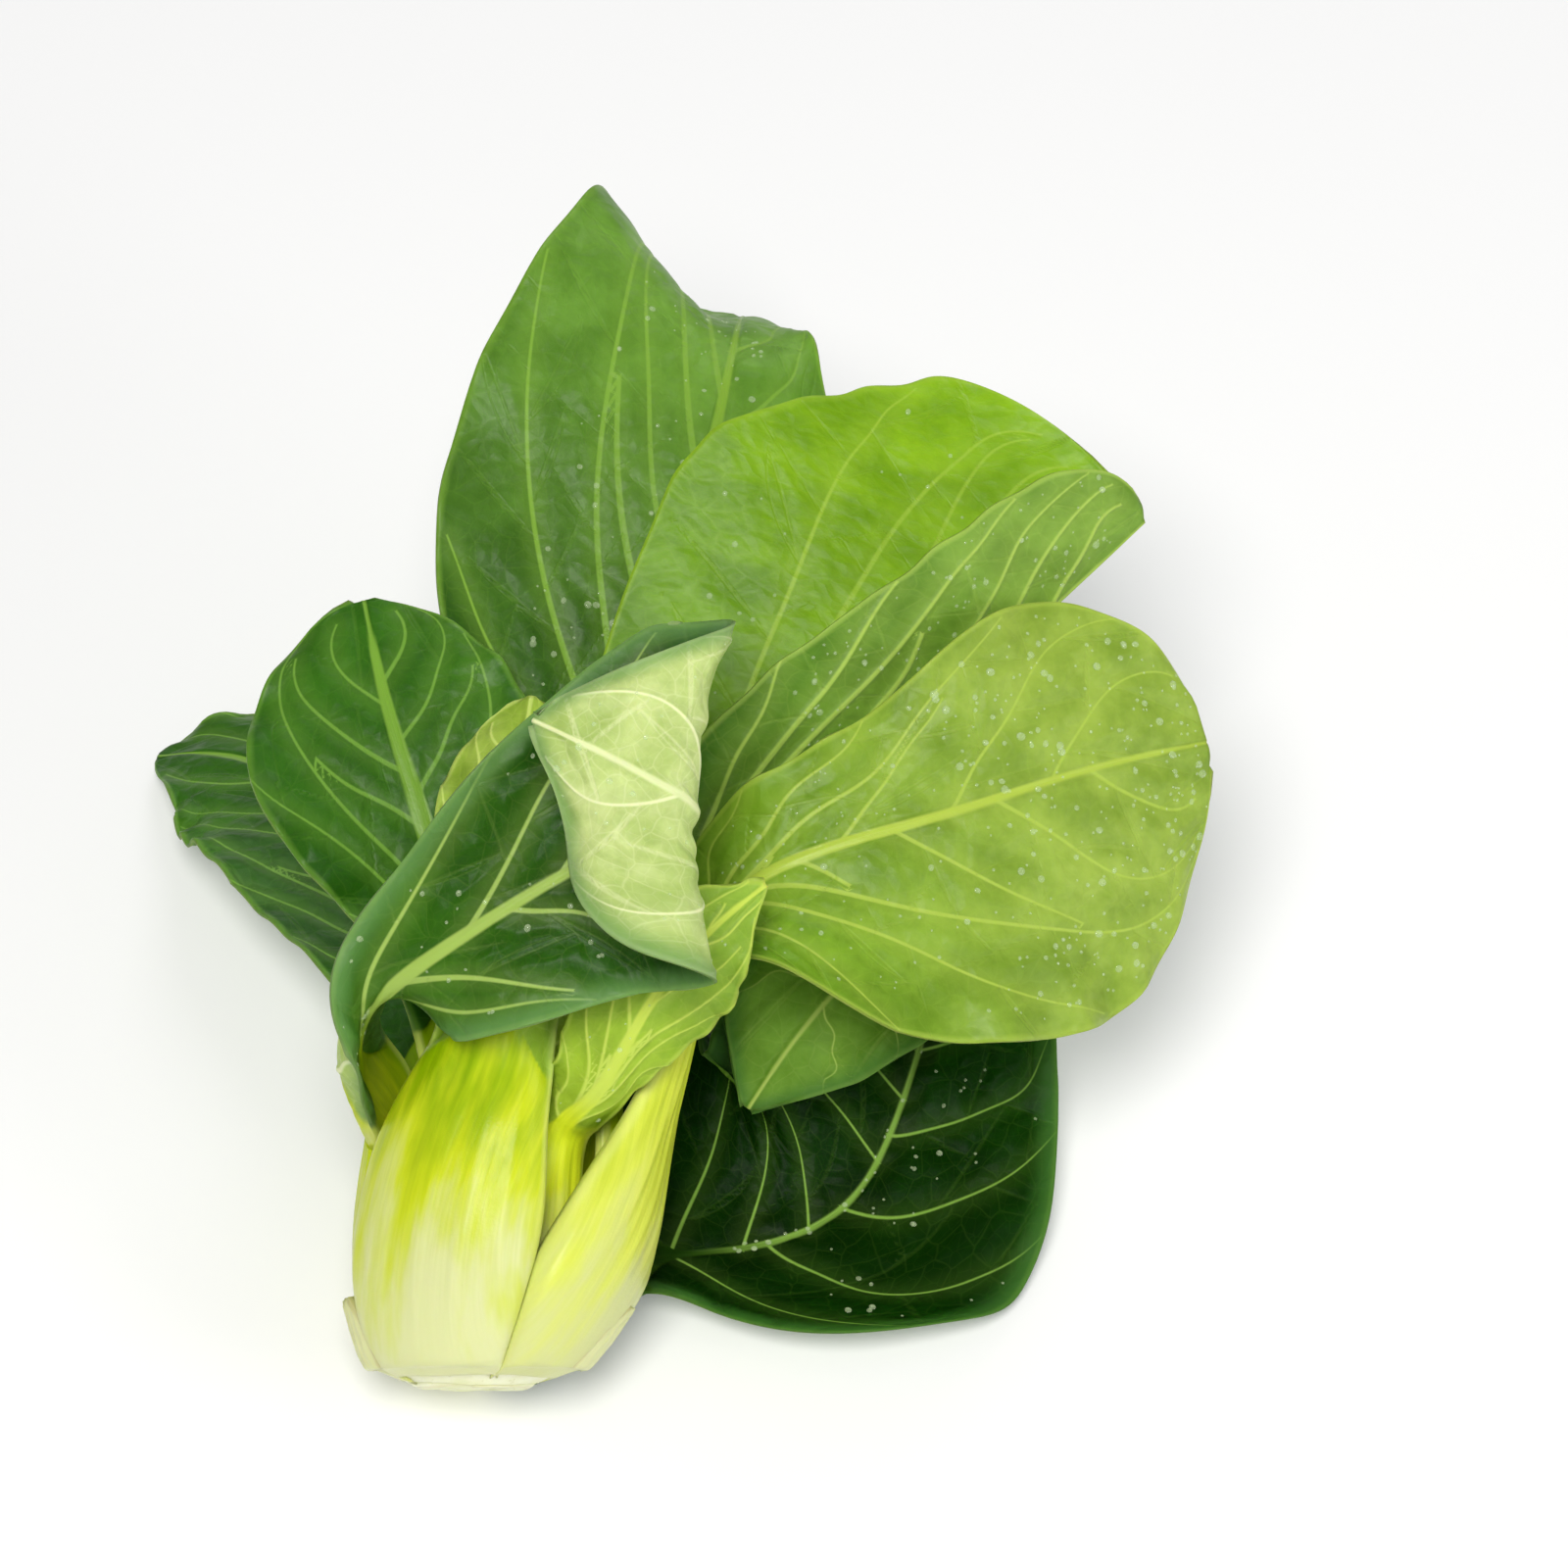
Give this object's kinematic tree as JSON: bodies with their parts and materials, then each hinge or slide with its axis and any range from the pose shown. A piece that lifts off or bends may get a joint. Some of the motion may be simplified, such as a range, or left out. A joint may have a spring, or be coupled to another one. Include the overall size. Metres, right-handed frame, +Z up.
{
  "type": "bok choy head",
  "caption": "Head of bok choy lying on its side, pale swollen stalks round a cut butt and a loose fan of rounded green leaves, some folded.",
  "frame": {"origin": "middle of the footprint on the surface that the head lies on", "axes": "+Z up, +Y from the cut butt towards the leaf tips, +X to the right of a viewer at the butt end"},
  "size_m": [0.1772, 0.201, 0.1244],
  "materials": {
    "butt": "moist cut flesh, pale",
    "stalk": "smooth waxy yellow green, near white at the butt",
    "blade": "satin leaf green with pale raised veins",
    "young_blade": "satin light green with pale raised veins"
  },
  "bodies": {
    "root": {"butt": "butt", "stub": "stalk", "stub_right": "stalk", "front_stalk": "stalk", "front_blade": "blade", "left_stalk": "stalk", "left_blade": "blade", "right_stalk": "stalk", "right_blade": "blade", "under_right_stalk": "stalk", "under_right_blade": "blade", "under_left_stalk": "stalk", "under_left_blade": "blade", "tall_stalk": "stalk", "tall_blade": "blade", "folded_stalk": "stalk", "folded_blade": "blade", "inner_right_stalk": "stalk", "inner_right_blade": "young_blade", "inner_left_stalk": "stalk", "inner_left_blade": "blade", "heart_stalk": "stalk", "heart_blade": "young_blade"}
  },
  "joints": []
}
